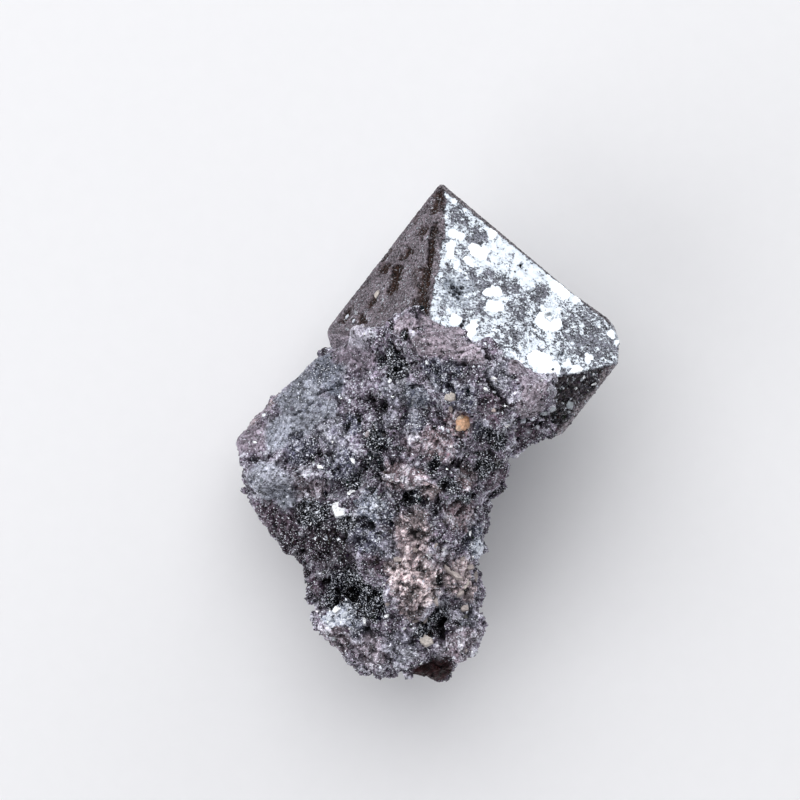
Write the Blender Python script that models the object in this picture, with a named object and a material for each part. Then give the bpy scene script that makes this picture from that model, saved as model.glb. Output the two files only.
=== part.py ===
"""Hematite pseudomorph after magnetite: one large octahedral crystal on a granular matrix.

The specimen lies on its back. +Z is up, +Y points to the free tip of the big crystal and +X to its
right-hand corner. Sizes are in millimetres with the resting plane at z = 0, and become Blender's
metres through MM. Last, an empty moves the origin under the middle of the bounding box.
"""

import itertools
import math
import random

import bmesh
import bpy
from mathutils import Euler, Quaternion, Vector
from mathutils.bvhtree import BVHTree

MM = 0.001
STOCK_SIDE = 90.0  # the block that flat-faced solids are cut from
ON_PLANE = 0.0001  # a corner this close to a cut lies on it

# The big crystal: an octahedron whose faces grew at their own rates. A face is named by the signs of
# its normal along the crystal's own axes, and measured from the crystal's centre.
CRYSTAL_CENTRE = Vector((2.9, 4.6, 11.34))
CRYSTAL_TURN = (9.0, -13.9, 5.5)  # degrees
FRONT, LEFT, LOWER_RIGHT, LOWER_LEFT = "+++", "-++", "+-+", "--+"
TOP, UNDERSIDE_LEFT, UNDERSIDE_RIGHT, UNDERSIDE = "++-", "-+-", "+--", "---"
FACE_DISTANCE = {
    FRONT: 9.14,
    LEFT: 9.14,
    LOWER_RIGHT: 9.14,
    LOWER_LEFT: 3.95,
    UNDERSIDE_LEFT: 8.80,
    UNDERSIDE_RIGHT: 6.22,
    UNDERSIDE: 5.28,
}
# The top face bends inwards along a line across its middle.
TOP_DISTANCE = 8.85
TOP_TILTS = (4.4, 1.5)  # degrees, before and after the bend
TOP_BEND_SHIFT = -3.1  # from the middle of the edge that it shares with the front face
CHIPS = (  # worn or broken corners: a point on the break and the break's outward normal
    ((14.75, 8.3, 15.2), (0.83, 0.52, 0.2)),
    ((8.6, -0.7, 16.0), (0.12, -0.97, -0.2)),
    ((0.9, 19.95, 14.0), (0.1, 0.98, 0.1)),
    ((-8.0, 8.0, 9.8), (-0.97, 0.1, -0.2)),
)
EDGE_WEAR = 0.1
LEDGE_RISE = 0.4
LEDGE_ROOT = 1.5
LEDGE_CHAMFER = 0.5  # how far its upper side leans back, as a slope
LEDGE_START = Vector((-7.6, 8.1, 10.0))  # its upper edge runs from here
LEDGE_END = Vector((0.1, 9.3, 20.8))
GROOVE_WIDTH = 0.5
GROOVE_LENGTH = 8.4
GROOVE_SHIFT = 2.9  # towards the free tip
GROOVE_INSET = 0.4  # from the edge
ETCH_PITS = (  # face, place along and across it, radius
    (LEFT, 4.7, -1.6, 0.8),
    (LEFT, 3.4, -1.2, 0.55),
    (LEFT, 6.9, -0.9, 0.5),
    (LEFT, 0.6, -2.9, 0.5),
    (FRONT, -4.9, 0.6, 0.8),
    (FRONT, -6.3, 1.4, 0.5),
    (FRONT, -1.6, -3.2, 0.5),
    (FRONT, 3.0, -2.4, 0.6),
    (FRONT, 5.6, 0.2, 0.7),
    (FRONT, 1.2, -0.6, 0.5),
    (LOWER_RIGHT, 3.0, -0.5, 0.7),
    (UNDERSIDE_LEFT, 0.5, 1.0, 0.9),
    (UNDERSIDE_LEFT, -2.5, -1.0, 0.6),
    (UNDERSIDE_RIGHT, 2.0, 1.5, 0.7),
)
ETCH_PIT_LIFT = 0.2  # how far a pit's centre stands off its face, as a share of its radius
ETCH_PIT_LEAN = 6.0  # degrees
ETCH_PIT_SEED = 3
SOCKET_GAP = 0.3  # clear space all round the crystal in its socket

# The matrix: lumps as x, y, z of the centre, then half the size along each.
LUMPS = (
    # the body of the mass, down to its base
    (-0.6, -0.2, 9.5, 7.0, 6.8, 10.0),
    (-9.2, -1.4, 6.0, 5.4, 5.0, 6.6),
    (-2.6, -8.4, 7.6, 6.6, 5.6, 9.6),
    (-2.2, -14.4, 8.6, 6.2, 4.6, 6.4),
    # the crown that laps over the crystal's lower faces
    (1.0, 6.9, 20.5, 3.4, 2.4, 3.5),
    (4.0, 3.8, 20.4, 3.2, 2.9, 4.0),
    (1.8, 4.8, 20.5, 2.5, 2.3, 3.6),
    (7.5, 3.5, 19.6, 3.3, 2.6, 3.4),
    (3.4, 5.6, 20.8, 2.7, 2.2, 3.4),
    (5.2, 2.6, 20.5, 2.6, 2.4, 3.6),
    (8.0, 1.0, 16.2, 2.2, 2.0, 3.8),
    (5.4, -0.2, 16.4, 2.6, 2.3, 5.0),
    (2.6, 0.6, 16.8, 3.5, 3.3, 5.1),
    (-1.6, 4.0, 15.0, 3.2, 3.2, 5.0),
    (-4.6, 2.4, 12.8, 2.3, 2.4, 4.4),
    # the middle
    (-2.4, 0.2, 16.8, 2.6, 2.4, 2.3),
    (1.8, -3.6, 17.2, 2.8, 2.4, 2.6),
    (4.3, -3.2, 15.0, 1.9, 1.7, 2.5),
    (4.5, -2.6, 11.0, 2.0, 2.0, 2.6),
    (2.7, -5.4, 14.2, 1.8, 1.8, 2.5),
    (3.2, -5.2, 10.2, 2.0, 2.1, 2.7),
    (-2.4, -4.4, 16.4, 2.5, 2.3, 2.4),
    (-5.8, -1.8, 13.4, 2.7, 2.5, 2.4),
    (-4.6, -6.3, 14.4, 2.6, 2.1, 2.2),
    (0.2, -7.6, 16.2, 2.7, 2.5, 2.6),
    (3.2, -7.1, 13.8, 1.6, 1.6, 2.4),
    (3.3, -8.0, 9.9, 1.6, 2.0, 2.6),
    (-7.6, -5.8, 12.0, 2.4, 2.1, 2.2),
    # the left shoulder
    (-12.2, -3.7, 8.7, 2.7, 2.8, 2.9),
    (-11.0, -6.1, 9.1, 3.1, 2.5, 2.9),
    (-10.4, -5.2, 5.0, 2.9, 2.8, 2.8),
    (-9.5, -8.3, 9.3, 2.5, 2.0, 2.6),
    (-8.4, -7.8, 5.4, 2.7, 2.4, 2.7),
    (-7.2, -9.4, 11.0, 2.5, 1.9, 2.3),
    (-7.9, -11.5, 10.2, 2.0, 2.3, 2.5),
    (-7.2, -11.4, 6.4, 2.2, 2.5, 2.7),
    (-12.9, 0.4, 5.9, 1.9, 2.3, 2.3),
    (-5.4, 2.5, 4.8, 2.6, 2.5, 2.6),
    # the foot
    (-1.2, -12.2, 15.4, 2.7, 3.1, 2.8),
    (2.1, -11.2, 13.8, 1.9, 2.6, 2.6),
    (2.8, -12.2, 9.7, 1.7, 2.6, 2.7),
    (3.0, -9.4, 12.8, 1.3, 1.3, 2.0),
    (-6.7, -15.4, 11.4, 2.0, 2.0, 2.5),
    (-6.2, -15.0, 7.6, 2.2, 2.3, 2.6),
    (-4.3, -17.8, 11.4, 2.4, 1.7, 2.3),
    (-3.6, -17.1, 7.8, 2.5, 1.9, 2.6),
    (-1.8, -16.9, 13.2, 2.8, 2.2, 2.4),
    (0.9, -18.5, 10.8, 1.6, 1.5, 2.3),
    (2.4, -15.6, 12.6, 2.0, 2.6, 2.5),
    (1.9, -15.8, 8.4, 2.3, 2.6, 2.6),
    (-2.0, -13.6, 4.6, 3.0, 2.8, 2.4),
)
LUMP_BLUNTNESS = (0.28, 0.44)  # how far towards the next corner each corner is cut back
LUMP_ROUGHNESS = 0.1
LUMP_LEAN = 40.0  # degrees
CORE_SHARE = 0.9  # of the first lump's size: the core that everything else is joined to
LUMP_SEED = 11

# The flat slab at the left of the matrix: points on its faces and their outward normals.
SLAB_FACES = (
    ((-10.2, 0.2, 12.8), (-0.42, 0.36, 0.83)),
    ((-10.8, 3.4, 9.0), (-0.66, 0.70, -0.26)),
    ((-15.2, -1.0, 9.0), (-0.86, -0.46, -0.1)),
    ((-11.0, -4.4, 9.0), (0.1, -0.99, 0.1)),
    ((-5.6, 1.0, 9.0), (0.97, -0.1, 0.1)),
    ((-7.5, 6.4, 9.0), (0.45, 0.88, 0.1)),
    ((-10.0, 0.0, 4.2), (-0.2, 0.15, -0.97)),
)

# Small octahedral crystals grown all over the matrix.
GRAIN_COUNT = 200
GRAIN_RADIUS = (0.45, 1.5)
GRAIN_SEED = 8
GRAIN_SINK = 0.3  # how deep a grain's centre lies, as a share of its radius
GRAIN_LEAN = 25.0  # degrees by which neighbouring grains differ from the big crystal's turn
GRAIN_RARITY = 2.5  # the higher, the fewer large ones
GRAIN_AIMS = ((-14.0, 8.0), (-19.0, 8.0), (1.0, 20.0))  # x, y and z of the places aimed at

OCTAHEDRON_CORNERS = [Vector(axis) * side for axis in ((1, 0, 0), (0, 1, 0), (0, 0, 1)) for side in (1, -1)]


def clear_scene():
    for obj in list(bpy.data.objects):
        bpy.data.objects.remove(obj, do_unlink=True)


def principled(name, colour, roughness, metallic):
    material = bpy.data.materials.new(name)
    material.use_nodes = True
    shader = material.node_tree.nodes["Principled BSDF"]
    shader.inputs["Base Color"].default_value = (*colour, 1.0)
    shader.inputs["Roughness"].default_value = roughness
    shader.inputs["Metallic"].default_value = metallic
    return material


def add_object(name, solid, material=None):
    """Turn a bmesh into an object. Without a material it is a cutter, which isn't part of the model."""
    mesh = bpy.data.meshes.new(name)
    solid.to_mesh(mesh)
    solid.free()
    obj = bpy.data.objects.new(name, mesh)
    bpy.context.scene.collection.objects.link(obj)
    if material:
        mesh.materials.append(material)
    else:
        obj.hide_render = True
        obj.display_type = "WIRE"
    return obj


def add_boolean(obj, operation, other, self_crossing=False):
    modifier = obj.modifiers.new(other.name, "BOOLEAN")
    modifier.operation = operation
    modifier.object = other
    modifier.use_self = self_crossing


def octahedral_turn():
    return Euler([math.radians(angle) for angle in CRYSTAL_TURN]).to_matrix()


def face_normal(signs):
    return octahedral_turn() @ Vector([1.0 if sign == "+" else -1.0 for sign in signs]).normalized()


def flat_faced(planes, grow=0.0):
    """The convex solid behind all planes, each a point and its outward normal, moved outwards by grow."""
    solid = bmesh.new()
    bmesh.ops.create_cube(solid, size=STOCK_SIDE * MM)
    middle = sum((Vector(point) for point, _ in planes), Vector()) / len(planes)
    bmesh.ops.translate(solid, vec=middle * MM, verts=solid.verts)
    for point, direction in planes:
        normal = Vector(direction).normalized()
        cut = bmesh.ops.bisect_plane(
            solid,
            geom=solid.verts[:] + solid.edges[:] + solid.faces[:],
            dist=ON_PLANE * MM,
            plane_co=(Vector(point) + normal * grow) * MM,
            plane_no=normal,
            clear_outer=True,
        )
        rim = [item for item in cut["geom_cut"] if isinstance(item, bmesh.types.BMEdge)]
        bmesh.ops.holes_fill(solid, edges=rim)
    bmesh.ops.recalc_face_normals(solid, faces=solid.faces)
    return solid


def edge_foot(one, other):
    """The point nearest to the crystal's centre on the edge that two neighbouring faces share."""
    share = face_normal(one).dot(face_normal(other))
    reach_one = (FACE_DISTANCE[one] - share * FACE_DISTANCE[other]) / (1.0 - share * share)
    reach_other = (FACE_DISTANCE[other] - share * FACE_DISTANCE[one]) / (1.0 - share * share)
    return CRYSTAL_CENTRE + face_normal(one) * reach_one + face_normal(other) * reach_other


def crystal_planes():
    faces = [
        (CRYSTAL_CENTRE + face_normal(signs) * distance, face_normal(signs))
        for signs, distance in FACE_DISTANCE.items()
    ]
    worn_edges = []
    for one, other in itertools.combinations(FACE_DISTANCE, 2):
        if sum(a != b for a, b in zip(one, other)) == 1:
            bisector = (face_normal(one) + face_normal(other)).normalized()
            worn_edges.append((edge_foot(one, other) - bisector * EDGE_WEAR, bisector))
    return faces + worn_edges + list(CHIPS)


def top_notch_planes():
    """What the bent top face leaves out: the wedge in front of both of its halves."""
    normal = face_normal(TOP)
    edge = face_normal(FRONT).cross(normal).normalized()
    bend_axis = normal.cross(edge)
    bend = CRYSTAL_CENTRE + normal * TOP_DISTANCE + edge * TOP_BEND_SHIFT
    before, after = (math.radians(tilt) for tilt in TOP_TILTS)
    halves = [Quaternion(bend_axis, before) @ normal, Quaternion(bend_axis, -after) @ normal]
    return [(bend, -half) for half in halves]


def ledge_planes():
    """A thin step of growth along the bottom of the left face."""
    left, front, bottom = face_normal(LEFT), face_normal(FRONT), face_normal(LOWER_LEFT)
    course = (LEDGE_END - LEDGE_START).normalized()
    upper = left.cross(course)
    return [
        (CRYSTAL_CENTRE + left * (FACE_DISTANCE[LEFT] + LEDGE_RISE), left),
        (CRYSTAL_CENTRE + left * (FACE_DISTANCE[LEFT] - LEDGE_ROOT), -left),
        (CRYSTAL_CENTRE + front * (FACE_DISTANCE[FRONT] - EDGE_WEAR), front),
        (edge_foot(LEFT, FRONT), front + left),
        (CRYSTAL_CENTRE + bottom * (FACE_DISTANCE[LOWER_LEFT] - EDGE_WEAR), bottom),
        (LEDGE_START, upper + left * LEDGE_CHAMFER),
        (LEDGE_START, -course),
    ]


def bar(start, end, width, depth_direction, depth):
    """A straight bar with a lozenge section, from start to end."""
    along = (end - start).normalized()
    deep = depth_direction.normalized()
    across = along.cross(deep)
    section = [across * width, deep * depth, -across * width, -deep * depth]
    solid = bmesh.new()
    for point in (start, end):
        for offset in section:
            solid.verts.new((point + offset) * MM)
    bmesh.ops.convex_hull(solid, input=solid.verts)
    return solid


def octahedron(centre, radius, turn):
    solid = bmesh.new()
    for corner in OCTAHEDRON_CORNERS:
        solid.verts.new((centre + turn @ (corner * radius)) * MM)
    bmesh.ops.convex_hull(solid, input=solid.verts)
    return solid


def random_turn(dice, lean):
    axis = Vector([dice.gauss(0.0, 1.0) for _ in range(3)]).normalized()
    return Quaternion(axis, math.radians(dice.uniform(-lean, lean))).to_matrix()


def lump(centre, half_sizes, dice):
    """A rough crystal: a blunted octahedron stretched to size, with its corners pushed about."""
    turn = random_turn(dice, LUMP_LEAN) @ octahedral_turn()
    solid = bmesh.new()
    for corner in OCTAHEDRON_CORNERS:
        for neighbour in OCTAHEDRON_CORNERS:
            if corner.dot(neighbour) != 0.0:
                continue
            blunt = dice.uniform(*LUMP_BLUNTNESS)
            offset = turn @ corner.lerp(neighbour, blunt).normalized()
            offset *= 1.0 + dice.uniform(-LUMP_ROUGHNESS, LUMP_ROUGHNESS)
            solid.verts.new((centre + offset * half_sizes) * MM)
    hull = bmesh.ops.convex_hull(solid, input=solid.verts)
    inner = [item for item in hull["geom_interior"] if isinstance(item, bmesh.types.BMVert)]
    bmesh.ops.delete(solid, geom=inner, context="VERTS")
    return solid


def joined(solids):
    together = bmesh.new()
    for solid in solids:
        piece = bpy.data.meshes.new("piece")
        solid.to_mesh(piece)
        solid.free()
        together.from_mesh(piece)
        bpy.data.meshes.remove(piece)
    return together


def lumps():
    dice = random.Random(LUMP_SEED)
    rocks = [lump(Vector(row[:3]), Vector(row[3:]), dice) for row in LUMPS]
    return joined(rocks + [flat_faced(SLAB_FACES)])


def grains(ground):
    """Octahedral crystals on the outside of the lumps, wherever a line from far off meets them."""
    dice = random.Random(GRAIN_SEED)
    surface = BVHTree.FromBMesh(ground)
    found = []
    while len(found) < GRAIN_COUNT:
        heading = Vector([dice.gauss(0.0, 1.0) for _ in range(3)]).normalized()
        target = Vector([dice.uniform(low, high) for low, high in GRAIN_AIMS])
        place = surface.ray_cast((target + heading * STOCK_SIDE) * MM, -heading)[0]
        if place is None:
            continue
        least, most = GRAIN_RADIUS
        radius = least + (most - least) * dice.random() ** GRAIN_RARITY
        centre = place / MM - heading * radius * GRAIN_SINK
        found.append(octahedron(centre, radius, random_turn(dice, GRAIN_LEAN) @ octahedral_turn()))
    return joined(found)


def etch_pits():
    """Small octahedral hollows in the big crystal's faces, parallel to it."""
    dice = random.Random(ETCH_PIT_SEED)
    pits = []
    for signs, along, across, radius in ETCH_PITS:
        normal = face_normal(signs)
        sideways = normal.cross(Vector((0.0, 0.0, 1.0))).normalized()
        upwards = sideways.cross(normal)
        height = FACE_DISTANCE[signs] + radius * ETCH_PIT_LIFT
        place = CRYSTAL_CENTRE + normal * height + sideways * along + upwards * across
        pits.append(octahedron(place, radius, random_turn(dice, ETCH_PIT_LEAN) @ octahedral_turn()))
    return joined(pits)


def edge_groove():
    """The open crack beside the edge between the left and front faces."""
    left = face_normal(LEFT)
    course = left.cross(face_normal(FRONT)).normalized()
    centre = edge_foot(LEFT, FRONT) + course * GROOVE_SHIFT + left.cross(course) * GROOVE_INSET
    reach = course * GROOVE_LENGTH * 0.5
    return bar(centre - reach, centre + reach, GROOVE_WIDTH * 0.5, left, GROOVE_WIDTH)


def below_the_base():
    solid = bmesh.new()
    bmesh.ops.create_cube(solid, size=STOCK_SIDE * MM)
    bmesh.ops.translate(solid, vec=Vector((0.0, 0.0, -0.5 * STOCK_SIDE * MM)), verts=solid.verts)
    return solid


def keep_largest_piece(obj):
    """Put the evaluated shape in the object's own mesh and drop the crumbs that the cuts cut loose."""
    depsgraph = bpy.context.evaluated_depsgraph_get()
    solid = bmesh.new()
    solid.from_object(obj, depsgraph)
    waiting = set(solid.verts)
    pieces = []
    while waiting:
        piece = set()
        edge_of_search = [waiting.pop()]
        while edge_of_search:
            vertex = edge_of_search.pop()
            piece.add(vertex)
            near = [edge.other_vert(vertex) for edge in vertex.link_edges]
            fresh = [other for other in near if other in waiting]
            waiting.difference_update(fresh)
            edge_of_search.extend(fresh)
        pieces.append(piece)
    pieces.sort(key=len)
    for crumb in pieces[:-1]:
        bmesh.ops.delete(solid, geom=list(crumb), context="VERTS")
    obj.modifiers.clear()
    solid.to_mesh(obj.data)
    solid.free()


def build_crystal():
    finish = principled("bright hematite", (0.34, 0.36, 0.39), 0.3, 0.9)
    crystal = add_object("octahedral_crystal", flat_faced(crystal_planes()), finish)
    add_boolean(crystal, "DIFFERENCE", add_object("top notch", flat_faced(top_notch_planes())))
    add_boolean(crystal, "UNION", add_object("ledge", flat_faced(ledge_planes())))
    add_boolean(crystal, "DIFFERENCE", add_object("edge groove", edge_groove()))
    add_boolean(crystal, "DIFFERENCE", add_object("etch pits", etch_pits()))
    keep_largest_piece(crystal)
    return crystal


def build_matrix():
    ground = lumps()
    small_crystals = grains(ground)
    core = lump(Vector(LUMPS[0][:3]), Vector(LUMPS[0][3:]) * CORE_SHARE, random.Random(LUMP_SEED))
    matrix = add_object("matrix", core, principled("granular hematite", (0.13, 0.13, 0.145), 0.6, 0.5))
    add_boolean(matrix, "UNION", add_object("lumps", ground), self_crossing=True)
    add_boolean(matrix, "UNION", add_object("small crystals", small_crystals), self_crossing=True)
    add_boolean(matrix, "DIFFERENCE", add_object("below the base", below_the_base()))
    add_boolean(matrix, "DIFFERENCE", add_object("socket", flat_faced(crystal_planes(), SOCKET_GAP)))
    add_boolean(matrix, "DIFFERENCE", add_object("ledge socket", flat_faced(ledge_planes(), SOCKET_GAP)))
    keep_largest_piece(matrix)
    return matrix


def set_origin(nodes):
    """Hang both pieces on an empty that brings the middle of their box's underside to the origin."""
    depsgraph = bpy.context.evaluated_depsgraph_get()
    corners = []
    for node in nodes:
        shape = node.evaluated_get(depsgraph)
        corners += [vertex.co.copy() for vertex in shape.data.vertices]
    low = Vector([min(corner[axis] for corner in corners) for axis in range(3)])
    high = Vector([max(corner[axis] for corner in corners) for axis in range(3)])
    specimen = bpy.data.objects.new("specimen", None)
    bpy.context.scene.collection.objects.link(specimen)
    specimen.location = (-0.5 * (low.x + high.x), -0.5 * (low.y + high.y), -low.z)
    for node in nodes:
        node.parent = specimen


def main():
    clear_scene()
    set_origin([build_crystal(), build_matrix()])
    bpy.context.view_layer.update()


main()
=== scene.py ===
"""Looks of the hematite pseudomorph specimen: a bright octahedral crystal on a granular matrix.

Places and sizes are in millimetres in the CAD source's own frame (z = 0 is the resting plane, +Y points
to the crystal's free tip), and become metres in the row frame through MM and the shift of the crystal.
"""

import itertools
import math
from collections import namedtuple

import bmesh
import bpy
import numpy as np
from mathutils import Euler, Matrix, Vector
from mathutils.bvhtree import BVHTree


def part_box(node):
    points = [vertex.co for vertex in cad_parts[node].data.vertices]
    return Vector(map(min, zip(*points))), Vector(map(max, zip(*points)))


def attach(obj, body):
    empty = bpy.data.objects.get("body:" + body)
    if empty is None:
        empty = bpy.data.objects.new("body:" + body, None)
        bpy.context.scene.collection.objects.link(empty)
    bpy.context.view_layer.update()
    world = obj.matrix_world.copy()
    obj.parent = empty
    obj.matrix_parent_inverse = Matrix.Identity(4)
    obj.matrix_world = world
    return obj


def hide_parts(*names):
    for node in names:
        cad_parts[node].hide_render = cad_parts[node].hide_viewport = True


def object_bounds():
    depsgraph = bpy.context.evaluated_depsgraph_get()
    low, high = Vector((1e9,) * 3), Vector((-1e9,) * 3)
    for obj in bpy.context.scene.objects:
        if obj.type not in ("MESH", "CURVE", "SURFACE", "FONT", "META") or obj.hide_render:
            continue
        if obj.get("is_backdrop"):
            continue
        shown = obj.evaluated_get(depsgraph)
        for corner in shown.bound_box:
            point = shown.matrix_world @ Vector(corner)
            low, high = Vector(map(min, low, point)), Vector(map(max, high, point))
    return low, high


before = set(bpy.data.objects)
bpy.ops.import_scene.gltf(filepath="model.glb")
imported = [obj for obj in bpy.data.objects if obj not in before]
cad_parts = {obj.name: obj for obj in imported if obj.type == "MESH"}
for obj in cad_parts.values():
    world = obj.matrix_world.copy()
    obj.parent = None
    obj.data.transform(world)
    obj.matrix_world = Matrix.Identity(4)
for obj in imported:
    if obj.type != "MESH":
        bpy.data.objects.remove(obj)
cad_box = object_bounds()

MM = 0.001
CRYSTAL_HIGH_CORNER = np.array((15.33, 19.86, 23.28))  # of the crystal's box, in the source's frame
SHIFT = np.array(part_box("octahedral_crystal")[1]) / MM - CRYSTAL_HIGH_CORNER
SHIFT[2] = 0.0
FLOOR_CLEARANCE = 0.01
SKY = 60.0  # a height above the whole specimen
UPPER_SIDE = 8.0  # the height above which the matrix shows to the camera

# --- the crystal

CRYSTAL_VOXEL = 0.14
CRYSTAL_CENTRE = np.array((2.9, 4.6, 11.34))
CRYSTAL_TURN = (9.0, -13.9, 5.5)  # degrees
FACES = {  # signs of the normal along the crystal's own axes, distance from the centre
    "front": ((1, 1, 1), 9.14),
    "left": ((-1, 1, 1), 9.14),
    "lower_right": ((1, -1, 1), 9.14),
    "lower_left": ((-1, -1, 1), 3.95),
    "top": ((1, 1, -1), 8.8),
    "under_left": ((-1, 1, -1), 8.8),
    "under_right": ((1, -1, -1), 6.22),
    "under": ((-1, -1, -1), 5.28),
}
RIM_WIDTH = 1.0  # of the smoother brown rim of the lower right face
DULL = {  # colours of the crystal where it isn't bright, with painted light and shade on three faces
    # left: browner, partly a painted reflection of dark brown surroundings; lower_right: darker, partly
    # painted shade; lower_left: lighter, painted light; pits: black, painted shade in them
    "hidden": (0.12, 0.115, 0.13), "front": (0.105, 0.108, 0.13), "left": (0.126, 0.106, 0.122),
    "lower_right": (0.055, 0.046, 0.053), "lower_left": (0.3, 0.26, 0.3), "rim": (0.21, 0.185, 0.2),
    "streaks": (0.022, 0.01, 0.007), "fibres": (0.25, 0.275, 0.32), "pits": (0.01, 0.01, 0.014),
    "edges": (0.1, 0.085, 0.09),
}
# Light grey specks on the dull metal: a painted sparkle.
PAINTED_SPARKLE = (0.55, 0.56, 0.62, 1)
DARK_SILVER, LIGHT_SILVER = (0.44, 0.485, 0.54, 1), (0.66, 0.712, 0.772, 1)
MIRROR = (0.9, 0.94, 0.97, 1)

# Mirror-flat patches on the front face: x, y, radius.
MIRROR_PATCHES = (
    (2.17, 18.44, 0.34), (2.05, 15.75, 0.42), (2.6, 15.62, 0.42), (5.14, 15.8, 0.42), (1.84, 14.75, 0.5),
    (1.7, 14.05, 0.42), (3.8, 14.5, 0.55), (4.35, 14.25, 0.55), (3.1, 13.7, 0.32), (3.45, 13.45, 0.3),
    (2.32, 13.28, 0.28), (4.75, 11.1, 0.4), (5.4, 11.15, 0.5), (5.05, 10.0, 0.45), (5.6, 9.95, 0.5),
    (2.15, 8.95, 0.46), (2.25, 8.75, 0.4), (3.6, 8.55, 0.42), (3.35, 8.1, 0.44), (3.1, 7.65, 0.38),
    (9.2, 8.85, 0.7), (10.1, 8.6, 0.6), (8.4, 5.85, 0.62), (9.2, 5.45, 0.8), (10.0, 5.0, 0.62),
    (11.0, 5.55, 0.35), (11.8, 4.9, 0.5), (12.75, 5.85, 0.38), (14.55, 7.75, 0.36), (15.0, 7.1, 0.26),
    (10.3, 11.6, 0.62), (10.9, 11.0, 0.5), (11.9, 10.6, 0.36),
)
# Darker and lighter patches between them: x, y, radius, share of bright metal.
SPECKLED = (
    (3.0, 15.4, 1.8, 0.56), (2.5, 17.5, 0.7, 0.4), (3.9, 15.7, 0.8, 0.22), (4.4, 11.9, 0.9, 0.3),
    (6.3, 11.9, 0.9, 0.2), (5.2, 12.0, 0.8, 0.35), (9.1, 11.3, 0.9, 0.25), (7.4, 9.9, 1.2, 0.45),
    (4.4, 10.0, 0.5, 0.2), (12.3, 7.6, 1.6, 0.36), (13.6, 6.6, 1.5, 0.31), (14.2, 8.3, 0.8, 0.4),
    (11.4, 8.6, 1.1, 0.45), (6.2, 7.4, 1.3, 0.48), (3.2, 9.2, 0.8, 0.45), (10.6, 4.6, 0.5, 0.25),
    (12.4, 4.4, 0.5, 0.4), (14.2, 4.9, 0.9, 0.45), (1.9, 12.0, 0.9, 0.52), (7.0, 14.3, 2.0, 0.92),
    (9.0, 13.2, 1.6, 0.9), (5.2, 17.2, 1.2, 0.85), (8.2, 8.0, 1.0, 0.6),
)
# The right edge of the front face's dull left margin: y values, then x values.
DULL_MARGIN = ((7.3, 8.7, 10.4, 14.2, 16.2, 18.7), (0.0, 0.1, 0.32, 1.08, 1.32, 1.44))
FIBROUS = (2.3, 11.2, 1.4)  # x, y, radius of a patch of grey fibres
# Pits on the front face, sunk and painted black as the shade in them: x, y, radius.
PITS = (
    (2.85, 8.75, 0.11), (2.72, 8.5, 0.12), (2.58, 8.22, 0.13), (2.28, 11.25, 0.2), (2.6, 11.05, 0.16),
    (1.95, 11.55, 0.15), (2.05, 10.95, 0.14), (2.75, 11.45, 0.12), (2.4, 10.65, 0.12), (1.75, 11.1, 0.1),
    (7.46, 13.36, 0.1), (7.4, 13.2, 0.08), (10.9, 4.35, 0.16), (9.9, 5.0, 0.08),
)
# Dark red-brown streaks and blots on the left face: from x, y to x, y, and half the width.
BROWN_STREAKS = (
    (1.3, 18.9, 1.2, 17.7, 0.14), (0.6, 16.4, 0.3, 15.0, 0.22), (0.4, 15.2, 0.0, 13.0, 0.26),
    (0.0, 13.2, -0.3, 10.6, 0.3), (-0.3, 10.8, -0.45, 9.2, 0.34), (0.9, 19.0, 0.4, 17.8, 0.4),
    (-0.4, 16.1, -0.6, 15.7, 0.34), (-2.5, 13.0, -2.7, 12.0, 0.4), (-2.8, 11.7, -3.0, 11.2, 0.3),
    (-3.3, 14.6, -3.5, 14.2, 0.42), (-3.4, 13.3, -3.6, 13.0, 0.34), (-0.5, 12.8, -0.7, 10.2, 0.24),
    (-5.3, 9.2, -5.4, 8.9, 0.3), (-1.6, 14.6, -2.0, 13.9, 0.3), (-1.2, 10.4, -1.4, 9.6, 0.26),
    (-4.4, 10.6, -4.7, 10.1, 0.24), (-6.4, 9.6, -6.7, 9.0, 0.26),
)

# --- the matrix

MATRIX_VOXEL = 0.196
SWELL = 0.16  # closes the CAD's clear gap between the matrix and the crystal
CLEFT = 0.6  # half the width of the clefts that are filled
PORE_DEPTH = 0.6
SMOOTH_ROUNDS = 110  # of relaxing, where the palette says smooth
# Painted glints: bright specks mixed into the matrix's colour.
PAINTED_GLINT = (0.82, 0.85, 0.93, 1)

# Lumps that lap over the crystal: x, y, half sizes, turn in degrees, how far they are lifted.
LAPPING = (
    (-2.4, 8.35, 3.6, 0.85, 0.6, 13.0, 0.0), (-5.2, 7.85, 2.2, 0.85, 0.5, 13.0, 0.1),
    (-5.0, 6.5, 2.4, 1.3, 0.7, 20.0, -0.1), (1.1, 6.75, 3.0, 1.45, 1.0, -4.0, 0.1),
    (3.3, 6.2, 1.5, 0.9, 0.8, -38.0, 0.1), (-1.0, 6.6, 1.6, 1.1, 0.8, 10.0, 0.0),
)

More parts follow.
